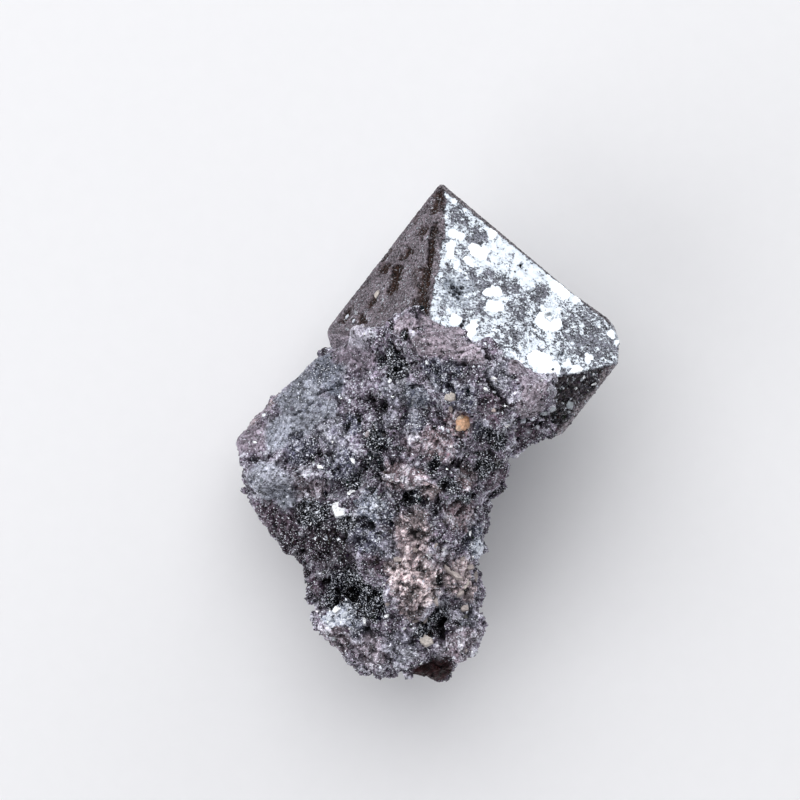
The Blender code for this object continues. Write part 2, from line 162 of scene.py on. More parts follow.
# Zones: x, y, radius, palette name. They lie where a line down from above meets the matrix.
ZONES = (
    # the slab on the left
    (-14.2, -0.3, 1.7, "mauve_smooth"), (-12.6, 1.9, 1.4, "mauve_smooth"),
    (-13.6, 1.0, 2.0, "mauve_smooth"), (-9.8, 3.4, 1.7, "steel"), (-11.2, 2.4, 1.2, "steel"),
    (-8.0, 5.0, 1.6, "slate_smooth"), (-7.4, 3.8, 1.0, "slate_smooth"), (-10.2, 1.0, 1.9, "steel"),
    (-8.2, 1.6, 1.4, "steel"), (-11.8, -0.2, 1.4, "steel"), (-10.1, -1.4, 1.3, "slate"),
    (-7.6, -0.2, 1.5, "grey"),
    # the hump below it
    (-12.8, -4.1, 2.0, "steel_light"), (-11.8, -5.3, 1.5, "steel"), (-13.0, -6.6, 1.5, "dusky"),
    (-11.2, -7.6, 1.4, "dusky"), (-9.5, -4.3, 1.5, "mauve"), (-9.1, -6.7, 1.6, "coal"),
    # the middle
    (-4.2, -0.5, 1.5, "coal"), (-5.9, 0.6, 1.0, "slate"), (-3.0, 1.0, 0.8, "grey"),
    (-4.2, -2.7, 1.2, "coal"), (-7.0, -2.6, 1.6, "slate"), (-6.0, -3.8, 1.1, "coal"),
    (-4.4, -5.9, 1.5, "steel_rough"), (-6.2, -7.4, 1.2, "coal"), (-3.0, -6.6, 0.9, "slate"),
    (-2.4, -3.3, 1.3, "rosy"), (-1.0, -3.6, 1.0, "rosy"), (0.8, -1.0, 1.5, "rosy"),
    (-1.2, -0.8, 1.1, "mauve"), (-1.0, 0.6, 1.0, "slate"), (0.6, -2.5, 0.8, "coal"),
    (-1.0, -5.2, 1.0, "coal"), (0.1, -4.6, 0.8, "tan"), (2.4, 0.8, 1.2, "rosy"),
    # the right side
    (4.7, -2.4, 1.4, "coal"), (1.5, -4.1, 0.9, "coal"), (3.1, -3.6, 0.9, "rosy"), (3.0, -5.1, 0.9, "coal"),
    (5.8, -3.6, 1.5, "dusky"), (2.4, -6.4, 1.5, "rosy"), (3.9, -8.6, 1.4, "slate"),
    # below the ledge and the crown
    (-5.2, 6.2, 1.8, "mauve_smooth"), (-6.6, 6.4, 1.2, "mauve_smooth"), (-2.8, 3.3, 1.4, "grey"),
    (-0.9, 3.0, 1.2, "steel_rough"), (1.2, 4.0, 1.3, "slate"), (2.8, 2.6, 1.4, "slate"),
    (5.6, 4.4, 1.3, "grey"), (5.3, 1.9, 1.2, "dusky"), (4.4, 0.2, 1.1, "slate"), (5.4, -0.6, 1.0, "coal"),
    # the block on the right
    (8.5, 3.3, 1.1, "crown"), (8.0, 2.2, 1.2, "crown"), (8.0, 4.6, 1.1, "mauve_smooth"),
    (6.8, 5.2, 0.7, "crown"), (7.9, 0.0, 1.2, "dusky"), (10.2, 0.8, 1.1, "dusky"),
    # the ledge and the crown
    (-5.8, 7.8, 1.3, "lavender"), (-3.8, 8.2, 1.2, "lavender"), (-1.7, 8.4, 1.1, "crown"),
    (0.2, 8.9, 1.0, "crown"), (-0.6, 7.0, 1.1, "crown"), (0.8, 7.0, 1.3, "crown"),
    (2.4, 6.9, 1.1, "crown"), (3.6, 6.2, 1.0, "crown"), (0.5, 8.0, 1.0, "crown"), (2.2, 7.9, 1.0, "crown"),
    (3.4, 7.2, 0.9, "crown"), (-2.6, 6.3, 0.9, "coal"), (-1.7, 7.5, 0.55, "coal"),
    (-0.9, 8.0, 0.45, "coal"), (-2.3, 5.2, 1.3, "coal"), (-3.4, 5.8, 0.8, "coal"),
    (2.0, 4.9, 0.9, "slate"), (2.4, 6.2, 0.8, "crown"), (0.4, 5.2, 0.9, "slate"),
    # the lower left, darker: partly its own dark minerals, partly a painted shadow
    (-10.8, -8.9, 1.4, "plum_shadow"), (-9.9, -10.7, 1.2, "plum_shadow"), (-8.9, -12.4, 1.0, "dusky"),
    (-8.3, -8.8, 1.8, "plum_shadow"), (-4.8, -8.6, 1.5, "slate"), (-7.4, -10.2, 2.0, "plum_shadow"),
    (-4.0, -10.6, 1.2, "dusky"), (-6.3, -12.8, 2.4, "coal"), (-4.4, -13.6, 1.6, "coal"),
    # the foot
    (-7.4, -16.4, 1.7, "mauve"), (-7.9, -14.9, 0.7, "silver"), (-6.7, -14.6, 0.85, "silver"),
    (-5.8, -15.2, 0.6, "steel_rough"), (4.0, -9.2, 0.8, "silver"), (-5.4, -16.0, 0.9, "slate"),
    (-4.4, -17.4, 1.5, "lavender_rough"), (-2.2, -17.2, 1.5, "grey"), (1.5, -17.8, 1.0, "dusky"),
    (0.8, -19.2, 1.4, "umber"), (-0.7, -19.0, 0.9, "umber"), (2.9, -17.1, 1.7, "mauve"),
    (3.2, -14.4, 1.3, "grey"),
    # the tan ridge
    (-1.3, -7.8, 1.7, "tan"), (-1.2, -9.8, 1.4, "tan"), (-2.4, -10.8, 1.0, "tan_light"),
    (0.2, -11.0, 1.0, "tan"), (-0.9, -12.1, 1.9, "tan_light"), (-3.1, -9.3, 0.9, "grey"),
    (-1.4, -14.4, 1.2, "tan"), (2.4, -11.4, 1.5, "tan"), (3.1, -11.0, 0.7, "tan_light"),
    (3.4, -12.6, 1.0, "tan"), (1.2, -10.0, 1.0, "mauve"), (0.9, -14.6, 1.0, "coal"),
    (0.9, -11.7, 0.6, "coal"), (-0.3, -16.0, 1.0, "coal"),
)
# Zones of the sides and the back, by seed, and the height they begin below.
HIDDEN_ZONES = {81: "lavender_rough", 82: "tan", 83: "coal", 84: "steel", 85: "rosy", 86: "mauve"}
HIDDEN_BELOW = 9.0
PALETTE = {  # colour, how smooth, share of the surface that bears grains, share of shining grains and of painted glints
    "ground": ((0.183, 0.153, 0.201), 0.0, 1.0, 0.09),
    "lavender": ((0.368, 0.347, 0.405), 0.92, 0.25, 0.02),
    "lavender_rough": ((0.29, 0.246, 0.29), 0.3, 0.8, 0.05),
    "steel": ((0.169, 0.177, 0.212), 0.9, 0.5, 0.02),
    "steel_light": ((0.227, 0.234, 0.276), 0.88, 0.5, 0.02),
    "steel_rough": ((0.241, 0.26, 0.328), 0.2, 1.0, 0.18),
    "slate": ((0.092, 0.091, 0.132), 0.1, 1.0, 0.11),
    "slate_smooth": ((0.1, 0.108, 0.136), 0.88, 0.5, 0.04),
    "silver": ((0.282, 0.318, 0.399), 0.4, 1.0, 0.34),
    "grey": ((0.203, 0.196, 0.242), 0.35, 1.0, 0.06),
    "mauve": ((0.218, 0.178, 0.208), 0.15, 0.9, 0.05),
    "mauve_smooth": ((0.162, 0.135, 0.167), 0.9, 0.25, 0.015),
    "crown": ((0.204, 0.172, 0.203), 0.9, 0.25, 0.015),
    "rosy": ((0.326, 0.247, 0.274), 0.05, 0.9, 0.05),
    "dusky": ((0.107, 0.076, 0.102), 0.2, 0.9, 0.04),
    # plum: a dark reddish painted shadow.
    "plum_shadow": ((0.044, 0.031, 0.042), 0.1, 1.0, 0.06),
    "umber": ((0.02, 0.007, 0.008), 0.6, 0.5, 0.0),
    "tan": ((0.491, 0.409, 0.429), 0.0, 0.35, 0.03),
    "tan_light": ((0.696, 0.587, 0.604), 0.0, 0.35, 0.03),
    "coal": ((0.014, 0.015, 0.022), 0.0, 1.0, 0.13),
}
COOL = np.array((0.965, 0.975, 1.09))  # the cool hue given to lighter facets and grains, a painted sheen
HOLES = (  # x, y, radius of the pores, sunk and painted near black as the shade in them
    (0.6, -2.64, 0.55), (1.4, -4.24, 0.5), (-1.4, -5.2, 0.6), (-0.2, -5.44, 0.45), (3.4, -5.04, 0.5),
    (-3.9, -2.7, 0.6), (-2.3, 5.2, 0.45), (1.0, -11.84, 0.6), (0.6, -14.24, 0.5), (5.2, 6.6, 0.3),
    (-6.6, -8.4, 0.6), (-4.6, -7.4, 0.5), (-5.2, -6.9, 0.5), (-6.0, -13.0, 0.7), (-4.6, -12.2, 0.5),
    (-9.0, -6.8, 0.5), (4.8, -1.8, 0.5), (-4.9, 0.0, 0.45), (-8.6, -1.8, 0.35),
)
PUSHED = (  # x, y, radius, how far along x and y the matrix's outline is moved there
    (-14.2, 2.4, 2.6, 0.5, -0.9), (9.2, -1.8, 2.2, 0.0, 0.9), (5.6, -7.8, 1.8, -0.8, 0.0),
    (4.6, -10.6, 2.4, -0.55, 0.0), (4.4, -15.2, 1.8, 0.4, 0.0), (-8.6, -14.8, 1.8, -0.8, 0.0),
    (-3.5, -20.2, 1.2, 0.0, 0.6), (1.6, 9.2, 1.6, 0.0, -0.8), (3.7, 8.0, 1.5, -0.3, -0.8),
)
SUNKEN = (  # x, y, radius, how deep, where the matrix leaves the front face bare
    (8.8, 5.9, 1.4, 1.7), (7.6, 6.2, 0.8, 0.5), (10.4, 5.4, 0.9, 0.9), (5.6, 7.4, 0.9, 0.6),
    (11.0, 3.0, 1.1, 3.2), (10.7, 1.8, 0.8, 2.8),
)
CREASES = (  # creases, sunk and painted dark as the shade in them: from x, y to x, y, half the width
    (-10.6, 1.4, -9.2, 2.4, 0.04), (-8.7, 2.9, -7.0, 3.9, 0.06), (-4.3, -3.3, -2.8, -2.3, 0.22),
    (-5.0, -5.4, -3.8, -3.5, 0.2), (4.4, 4.6, 5.6, 3.0, 0.2), (7.0, 1.2, 9.0, 0.6, 0.08),
    (-1.6, 7.7, -0.9, 6.2, 0.12),
)

# Ring-shaped walls of the tan boxwork: x, y, radius.
RINGS = (
    (-0.5, -8.1, 0.75), (-1.7, -8.9, 0.42), (-2.16, -11.9, 0.45), (-2.0, -12.8, 0.32), (0.0, -13.0, 0.42),
    (-0.6, -12.4, 0.35), (-1.3, -14.0, 0.4), (-2.6, -10.9, 0.4), (-1.2, -11.0, 0.36), (0.2, -11.4, 0.34),
    (1.9, -12.4, 0.38), (-0.9, -7.0, 0.34),
)

# --- loose chips

WHITE = (0.88, 0.9, 0.93)
PEARL = (0.62, 0.66, 0.74)
BUFF = (0.45, 0.39, 0.375)
PALE = (0.56, 0.505, 0.47)
AMBER = (0.76, 0.45, 0.28)
LEAD = (0.42, 0.46, 0.5)
# x, y, half sizes along, across and through, turn in degrees, colour
CHIPS = (
    (-6.93, -6.25, 0.86, 0.8, 0.1, 20, WHITE), (-6.07, -4.91, 0.44, 0.28, 0.1, 25, WHITE),
    (-8.56, -2.84, 0.44, 0.2, 0.12, -15, WHITE), (-5.96, -2.32, 0.36, 0.18, 0.12, -60, WHITE),
    (-13.16, 1.28, 0.22, 0.15, 0.1, 40, WHITE), (-13.8, -0.9, 0.2, 0.14, 0.1, 0, WHITE),
    (-7.3, -14.2, 0.5, 0.34, 0.14, 70, WHITE), (-6.6, -14.6, 0.4, 0.26, 0.14, 20, PEARL),
    (-7.9, -14.9, 0.34, 0.22, 0.14, -35, PEARL), (-5.0, -15.2, 0.4, 0.2, 0.14, 100, WHITE),
    (-3.2, -14.64, 0.28, 0.2, 0.12, 30, WHITE), (4.0, -9.3, 0.46, 0.26, 0.16, 80, PEARL),
    (3.4, -8.1, 0.28, 0.14, 0.12, 80, WHITE), (-4.76, -0.16, 0.36, 0.26, 0.16, 70, (0.62, 0.55, 0.58)),
    (0.1, -9.9, 0.34, 0.12, 0.1, -30, WHITE), (-3.0, 4.0, 0.28, 0.16, 0.1, 60, WHITE),
    (7.5, 0.9, 0.3, 0.2, 0.12, 20, PEARL), (9.2, 1.5, 0.34, 0.22, 0.14, 0, LEAD),
    (6.1, 2.0, 0.3, 0.12, 0.12, -25, WHITE), (4.5, 3.4, 0.3, 0.18, 0.12, -30, WHITE),
    (-4.0, 10.96, 0.34, 0.2, 0.1, 65, PALE), (-6.4, 9.2, 0.3, 0.13, 0.1, 60, PEARL),
    (-5.9, 8.8, 0.26, 0.12, 0.1, 70, PEARL), (1.8, 2.8, 0.6, 0.46, 0.2, -10, PALE),
    (1.8, 1.85, 0.46, 0.18, 0.16, -75, BUFF), (2.74, 0.64, 0.7, 0.6, 0.5, 75, AMBER),
    (2.62, 0.98, 0.34, 0.3, 0.5, 30, (0.86, 0.66, 0.5)),
    (3.02, 0.86, 0.34, 0.32, 0.46, 110, (0.66, 0.36, 0.2)),
    (3.02, 0.42, 0.36, 0.3, 0.48, 110, (0.8, 0.54, 0.38)),
    (2.52, 0.34, 0.36, 0.32, 0.48, 20, (0.84, 0.6, 0.44)), (9.8, 1.8, 0.4, 0.26, 0.14, 10, LEAD),
    (11.3, 2.2, 0.42, 0.34, 0.14, 60, LEAD), (13.2, 3.8, 0.34, 0.14, 0.1, 15, WHITE),
    (12.4, 4.3, 0.22, 0.12, 0.1, 60, WHITE), (5.2, 1.7, 0.22, 0.16, 0.12, 20, (0.52, 0.42, 0.4)),
    (2.2, -11.44, 0.72, 0.24, 0.22, -30, BUFF), (1.6, -11.0, 0.5, 0.2, 0.2, -50, BUFF),
    (3.0, -12.1, 0.6, 0.34, 0.24, 60, PALE), (2.6, -12.9, 0.4, 0.24, 0.22, 20, BUFF),
    (3.8, -11.6, 0.66, 0.22, 0.2, 85, BUFF), (3.4, -10.8, 0.36, 0.24, 0.2, 0, BUFF),
    (2.8, -10.1, 0.32, 0.18, 0.16, 30, BUFF), (2.9, -14.1, 0.44, 0.34, 0.2, 10, BUFF),
    (0.6, -13.4, 0.52, 0.22, 0.2, -60, BUFF), (-0.14, -16.7, 0.66, 0.46, 0.18, -30, PALE),
    (3.0, -17.4, 0.36, 0.2, 0.16, -70, BUFF), (-2.3, -10.2, 0.44, 0.28, 0.2, 0, BUFF),
    (-3.2, -13.7, 0.26, 0.16, 0.12, 0, BUFF), (-1.0, -9.4, 0.3, 0.14, 0.14, -50, BUFF),
    (0.6, -9.0, 0.26, 0.14, 0.14, 60, BUFF), (-0.2, -15.0, 0.36, 0.16, 0.14, 60, BUFF),
    (-1.0, -15.1, 0.3, 0.14, 0.14, 20, BUFF),
)
CHIP_LIGHT = (0.0, 0.3, 0.95)  # the way the chips' flat sides face
CHIP_RISE = 0.08  # above the ground, to stand clear of the grains

# --- small crystals

GRAINS = {  # how many, least and greatest radius, how far they lean, seed
    "grains_coarse": (9000, (0.12, 0.3), 0.45, 71),
    "grains_a": (24000, (0.06, 0.16), 0.6, 72),
    "grains_b": (24000, (0.05, 0.12), 0.6, 73),
    "grains_c": (13000, (0.04, 0.1), 0.6, 74),
    "grains_crystal": (3500, (0.08, 0.24), 0.5, 75),
}
SET_IN = 0.15  # of its radius: how deep a grain's middle is set in the surface
SHINE = (0.86, 0.9, 0.98)
OCTAHEDRON_POINTS = np.array([(1, 0, 0), (-1, 0, 0), (0, 1, 0), (0, -1, 0), (0, 0, 1), (0, 0, -1)], float)
OCTAHEDRON_FACES = np.array(
    [(0, 2, 4), (2, 1, 4), (1, 3, 4), (3, 0, 4), (2, 0, 5), (1, 2, 5), (3, 1, 5), (0, 3, 5)]
)

# --- the stage

VIEW_CENTRE = (-2.2, 2.56, 11.34)
VIEW_WIDTH = 64.0
CAMERA_DISTANCE = 700.0
SENSOR_WIDTH = 36.0
LIT_POINT = (0.0, 0.0, 10.0)
LIGHTS = {  # place and size in metres, power in watts
    "window": ((0.26, 0.38, 0.15), (0.5, 0.26), 0.62),
    "overhead": ((-0.1, 0.4, 0.66), (0.9, 0.9), 4.9),
    "fill": ((-0.42, -0.22, 0.38), (0.5, 0.5), 1.3),
}
FLOOR_REACH = 0.42  # metres from the middle to each side
DARK_PAPER, LIGHT_PAPER = (0.86, 0.86, 0.88, 1), (0.88, 0.88, 0.9, 1)


# --- numbers


def to_frame(points):
    """From millimetres in the source's frame to metres in the row frame."""
    return (np.asarray(points, float) + SHIFT) * MM


def hashed(cells, seed):
    """A steady number from 0 to 1 for each whole-numbered cell."""
    mixed = cells @ np.array((73856093, 19349663, 83492791)) + seed * 2654435761
    mixed = (mixed ^ (mixed >> 13)) * 1274126177
    mixed = (mixed ^ (mixed >> 15)) * 668265263
    mixed = mixed ^ (mixed >> 16)
    return (mixed & 0xFFFFFF) / 0xFFFFFF


def hashed_vectors(cells, seed):
    return np.stack([hashed(cells, seed + axis) for axis in range(3)], axis=1)


def swells(points, size, seed):
    """Smooth noise from -1 to 1 with bumps about size across."""
    scaled = points / size
    base = np.floor(scaled).astype(np.int64)
    part = scaled - base
    part = part * part * (3.0 - 2.0 * part)
    total = np.zeros(len(points))
    for corner in itertools.product((0, 1), repeat=3):
        weight = np.prod(np.where(corner, part, 1.0 - part), axis=1)
        total += weight * hashed(base + corner, seed)
    return total * 2.0 - 1.0


def cells_of(points, size, seed):
    """Each point's nearest scattered cell, the way from its middle and how much farther the next is."""
    scaled = points / size
    base = np.floor(scaled).astype(np.int64)
    best = np.full(len(points), np.inf)
    second = best.copy()
    owner = base.copy()
    middle = scaled.copy()
    for offset in itertools.product((-1, 0, 1), repeat=3):
        cell = base + offset
        centre = cell + hashed_vectors(cell, seed)
        gap = ((scaled - centre) ** 2).sum(axis=1)
        closer = gap < best
        second = np.where(closer, best, np.minimum(second, gap))
        best = np.where(closer, gap, best)
        owner[closer] = cell[closer]
        middle[closer] = centre[closer]
    return owner, (scaled - middle) * size, (np.sqrt(second) - np.sqrt(best)) * size


def facets(points, size, lean, seed):
    """A mosaic of flat leaning facets: height, each one's cell and how much farther the next is."""
    owner, offset, gap = cells_of(points, size, seed)
    tilt = hashed_vectors(owner, seed + 7) * 2.0 - 1.0
    height = (offset * tilt).sum(axis=1) * lean + (hashed(owner, seed + 11) - 0.5) * size * lean * 0.5
    return height, owner, gap


def ease(values):
    """Values cut off at 0 and 1, with soft bends there."""
    values = np.clip(values, 0.0, 1.0)
    return values * values * (3.0 - 2.0 * values)


def unit(vectors):
    return vectors / np.maximum(np.linalg.norm(vectors, axis=-1, keepdims=True), 1e-12)


def toned(colours, target, share):
    """Rows of numbers, each drawn towards a target by its share."""
    return colours + (np.array(target) - colours) * share[:, None]


# --- meshes


def new_object(name, mesh):
    obj = bpy.data.objects.new(name, mesh)
    bpy.context.scene.collection.objects.link(obj)
    return obj


def voxel_mesh(mesh, voxel):
    """An even quad mesh round a closed mesh, as points and faces, in place of that mesh."""
    obj = new_object("raw", mesh)
    modifier = obj.modifiers.new("fine", "REMESH")
    modifier.mode = "VOXEL"
    modifier.voxel_size = voxel
    evaluated = obj.evaluated_get(bpy.context.evaluated_depsgraph_get())
    fine = bpy.data.meshes.new_from_object(evaluated)
    points = np.empty(len(fine.vertices) * 3)
    fine.vertices.foreach_get("co", points)
    corners = np.empty(len(fine.loops), np.int32)
    fine.loops.foreach_get("vertex_index", corners)
    bpy.data.objects.remove(obj)
    bpy.data.meshes.remove(mesh)
    bpy.data.meshes.remove(fine)
    return points.reshape(-1, 3), corners.reshape(-1, 4)


def remeshed(node, voxel, lumps=()):
    """A fine mesh of a CAD node's shape and a few lumps, in millimetres in the source's frame."""
    solid = bmesh.new()
    solid.from_mesh(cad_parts[node].data)
    bmesh.ops.scale(solid, vec=(1.0 / MM,) * 3, verts=solid.verts)
    bmesh.ops.translate(solid, vec=-SHIFT, verts=solid.verts)
    bmesh.ops.remove_doubles(solid, verts=solid.verts, dist=0.001)
    for lump in lumps:
        bmesh.ops.create_icosphere(solid, subdivisions=4, radius=1.0, matrix=lump)
    mesh = bpy.data.meshes.new("raw")
    solid.to_mesh(mesh)
    solid.free()
    return voxel_mesh(mesh, voxel)


def closed(points, faces, reach, voxel):
    """Fill the clefts narrower than twice reach: swell the shape, mesh it anew, shrink it back."""
    swollen = points + normals_of(points, faces) * reach
    mesh = bpy.data.meshes.new("raw")
    mesh.from_pydata(swollen.tolist(), [], faces.tolist())
    points, faces = voxel_mesh(mesh, voxel)
    points = smoothed(points, faces, 3)
    return points - normals_of(points, faces) * reach, faces


def painted_mesh(name, points, faces, material, **painted):
    """A mesh with its material, and a number or a colour at each vertex for each name."""
    mesh = bpy.data.meshes.new(name)
    mesh.from_pydata(to_frame(points).tolist(), [], faces.tolist())
    mesh.validate()
    for key, values in painted.items():
        paint(mesh, key, values)
    mesh.materials.append(material)
    return mesh


def normals_of(points, faces):
    """Vertex normals of a quad mesh."""
    across = points[faces[:, 2]] - points[faces[:, 0]]
    along = points[faces[:, 3]] - points[faces[:, 1]]
    each = np.cross(across, along)
    total = np.zeros_like(points)
    for corner in range(4):
        np.add.at(total, faces[:, corner], each)
    return unit(total)


def smoothed(points, faces, times):
    """Relax a quad mesh."""
    pairs = np.concatenate([faces[:, (corner, (corner + 1) % 4)] for corner in range(4)])
    one = np.concatenate([pairs[:, 0], pairs[:, 1]])
    other = np.concatenate([pairs[:, 1], pairs[:, 0]])
    count = np.bincount(one, minlength=len(points))
    for _ in range(times):
        total = [np.bincount(one, points[other, axis], len(points)) for axis in range(3)]
        points = points * 0.5 + np.stack(total, axis=1) / count[:, None] * 0.5
    return points


def paint(mesh, name, values):
    """Keep one number or one colour for each vertex."""
    kind, key = "FLOAT", "value"
    if values.ndim > 1:
        kind, key = "FLOAT_COLOR", "color"
        values = np.pad(values, ((0, 0), (0, 1)), constant_values=1.0)
    attribute = mesh.attributes.new(name, kind, "POINT")
    attribute.data.foreach_set(key, values.astype(np.float32).ravel())


def keep_off_floor(points):
    points[:, 2] = np.maximum(points[:, 2], FLOOR_CLEARANCE)
    return points


class Ground:
    """A body's outer shape, to find what lies straight below a point."""

    def __init__(self, points, faces):
        self.tree = BVHTree.FromPolygons([tuple(p) for p in points], [tuple(f) for f in faces.tolist()])

    def below(self, x, y):
        """The place straight below and its normal, or None for both."""
        return self.tree.ray_cast(Vector((x, y, SKY)), Vector((0, 0, -1)))[:2]

    def placed(self, entries):
        """The entries that meet the body, each with its place there for x and y."""
        for x, y, *rest in entries:
            place, _ = self.below(x, y)
            if place is not None:
                yield np.array(place), *rest


# A made surface and, for each point, its colour with its painted light and shade, the share that bears
# grains and how many of them shine.
Surface = namedtuple("Surface", "points quads tint share spark")


# --- materials


class Shader:
    """A new material's nodes, with short ways to add and link them."""

    def __init__(self, name):
        self.material = bpy.data.materials.new(name)
        self.material.use_nodes = True
        self.tree = self.material.node_tree
        self.surface = self.tree.nodes["Principled BSDF"]
        self.place = self.node("ShaderNodeTexCoord").outputs["Object"]

    def node(self, kind, *values, **settings):
        """A new node with its first inputs set, or linked, to the values."""
        node = self.tree.nodes.new(kind)
        for key, value in settings.items():
            setattr(node, key, value)
        for socket, value in zip(node.inputs, values):
            self.put(socket, value)
        return node

    def put(self, socket, value):
        if isinstance(value, bpy.types.NodeSocket):
            self.tree.links.new(value, socket)
        else:
            socket.default_value = value

    def math(self, operation, *values, clamp=False):
        return self.node("ShaderNodeMath", *values, operation=operation, use_clamp=clamp).outputs[0]

    def attribute(self, name, output="Fac"):
        return self.node("ShaderNodeAttribute", attribute_name=name).outputs[output]

    def texture(self, kind, size, **settings):
        """A texture node with features about size millimetres across."""
        node = self.node(kind, **settings)
        self.put(node.inputs["Vector"], self.place)
        node.inputs["Scale"].default_value = 1.0 / (size * MM)
        return node

    def noise(self, size, detail=2.0, roughness=0.5):
        node = self.texture("ShaderNodeTexNoise", size)
        node.inputs["Detail"].default_value = detail
        node.inputs["Roughness"].default_value = roughness
        return node.outputs["Fac"]

    def cells(self, size, feature="F1", output="Distance"):
        return self.texture("ShaderNodeTexVoronoi", size, feature=feature).outputs[output]

    def ramp(self, value, low, high, dark=0.0, light=1.0):
        return self.node("ShaderNodeMapRange", value, low, high, dark, light, clamp=True).outputs["Result"]

    def mix(self, share, one, other, blend="MIX"):
        node = self.node("ShaderNodeMix", data_type="RGBA", blend_type=blend)
        self.put(node.inputs["Factor"], share)
        self.put(node.inputs["A"], one)
        self.put(node.inputs["B"], other)
        return node.outputs["Result"]

    def tinted(self, value, low, high, dark, light):
        """The mesh's own colour, times dark to light as the value goes from low to high."""
        factor = self.ramp(value, low, high, dark, light)
        return self.mix(1.0, self.attribute("tint", "Color"), factor, "MULTIPLY")

    def bump(self, height, distance, strength):
        node = self.node("ShaderNodeBump")
        node.inputs["Strength"].default_value = strength
        node.inputs["Distance"].default_value = distance * MM
        self.put(node.inputs["Height"], height)
        self.put(self.surface.inputs["Normal"], node.outputs["Normal"])

    def finish(self, colour, roughness, metallic):
        for name, value in (("Base Color", colour), ("Roughness", roughness), ("Metallic", metallic)):
            self.put(self.surface.inputs[name], value)
        return self.material


def bright_metal(shader, cover):
    """1 on bright metal and 0 on the dark specks, which thin out as cover grows."""
    plates = shader.ramp(shader.cells(0.42, output="Color"), 0.2, 0.9, -0.035, 0.045)
    specks = shader.mix(0.45, shader.noise(0.5, detail=4.0, roughness=0.72), shader.noise(0.14))
    seams = shader.ramp(shader.cells(0.55, "DISTANCE_TO_EDGE"), 0.0, 0.09, -0.09, 0.0)
    seams = shader.math("MULTIPLY", seams, shader.ramp(shader.noise(1.6), 0.42, 0.6))
    specks = shader.math("ADD", shader.math("ADD", specks, plates), seams)
    threshold = shader.math("MULTIPLY_ADD", cover, -0.3, 0.65)
    bright = shader.math("MULTIPLY", shader.math("SUBTRACT", specks, threshold), 20.0)
    return shader.math("ADD", bright, 0.5, clamp=True)


def crystal_material():
    """Bright metal broken up by dark specks, as dense as cover asks for."""
    shader = Shader("crystal_hematite")
    cover = shader.attribute("cover")
    bright = bright_metal(shader, cover)
    dull = shader.tinted(shader.noise(0.2, detail=3.0, roughness=0.65), 0.36, 0.66, 0.1, 2.4)
    # Painted sparkle: light grey specks mixed into the dull colour.
    painted_sparkle_share = shader.ramp(shader.noise(0.12, detail=0.0), 0.66, 0.74, 0.0, 0.55)
    dull = shader.mix(painted_sparkle_share, dull, PAINTED_SPARKLE)
    veil = shader.ramp(shader.noise(0.5, detail=5.0, roughness=0.7), 0.36, 0.64)
    silver = shader.mix(veil, DARK_SILVER, LIGHT_SILVER)
    silver = shader.mix(shader.ramp(cover, 1.0, 1.15), silver, MIRROR)
    shader.surface.inputs["Specular IOR Level"].default_value = 0.3
    shader.bump(shader.math("ADD", bright, shader.noise(0.1, detail=1.0)), 0.035, 0.8)
    roughness = shader.ramp(bright, 0.0, 1.0, 0.5, 0.3)
    metallic = shader.ramp(bright, 0.0, 1.0, 0.5, 1.0)
    return shader.finish(shader.mix(bright, dull, silver), roughness, metallic)


def matrix_material():
    """Dark granular hematite, with painted glints, bright specks in its colour, where some grains shine.
    """
    shader = Shader("matrix_hematite")
    fine = shader.noise(0.32, detail=4.0, roughness=0.78)
    colour = shader.tinted(fine, 0.36, 0.66, 0.11, 2.55)
    spark = shader.attribute("spark")
    # Painted glints, where the spark attribute and the noise are high.
    glints = shader.math("MULTIPLY_ADD", spark, 1.2, shader.noise(0.11, detail=0.0))
    glints = shader.math("MULTIPLY", shader.ramp(glints, 0.725, 0.785), shader.ramp(spark, 0.0, 0.012))
    shader.surface.inputs["Specular IOR Level"].default_value = 0.2
    shader.bump(fine, 0.05, 0.8)
    return shader.finish(shader.mix(glints, colour, PAINTED_GLINT), shader.ramp(fine, 0.3, 0.7, 0.6, 0.3), 0.5)


def grain_material():
    """Separate small crystals, each with its own tone."""
    shader = Shader("grain_hematite")
    fine = shader.noise(0.12, detail=1.0)
    colour = shader.tinted(fine, 0.3, 0.7, 0.7, 1.25)
    return shader.finish(colour, shader.ramp(fine, 0.3, 0.7, 0.42, 0.25), 0.8)


def chip_material():
    """Cleaved flakes and crumbs of lighter minerals. The white ones are cleaved metal."""
    shader = Shader("pale_chips")
    fine = shader.noise(0.16, detail=3.0, roughness=0.7)
    colour = shader.tinted(fine, 0.3, 0.68, 0.5, 1.2)
    shader.bump(fine, 0.03, 0.6)
    metallic = shader.ramp(shader.attribute("tint"), 0.74, 0.82, 0.12, 0.75)
    return shader.finish(colour, shader.ramp(fine, 0.3, 0.7, 0.5, 0.3), metallic)


# --- making the crystal


def face_distances(points):
    """How far each point is outside each of the crystal's face planes, below 0 inside."""
    turn = np.array(Euler([math.radians(angle) for angle in CRYSTAL_TURN]).to_matrix())
    columns = []
    for signs, distance in FACES.values():
        normal = turn @ (np.array(signs) / math.sqrt(3.0))
        columns.append((points - CRYSTAL_CENTRE) @ normal - distance)
    return np.stack(columns, axis=1)


def disc(points, x, y, radius, edge):
    """From 1 inside a circle seen from above to 0 outside it, over a band edge wide."""
    gap = np.hypot(points[:, 0] - x, points[:, 1] - y)
    return ease((radius + edge * 0.5 - gap) / edge)


def streak(points, x0, y0, x1, y1, width, edge):
    """From 1 along a line seen from above to 0 beside it, over a band edge wide."""
    start, end = np.array((x0, y0)), np.array((x1, y1))
    way = end - start
    share = np.clip(((points[:, :2] - start) @ way) / (way @ way), 0.0, 1.0)
    gap = np.linalg.norm(points[:, :2] - start - share[:, None] * way, axis=1)
    return ease((width + edge * 0.5 - gap) / edge)


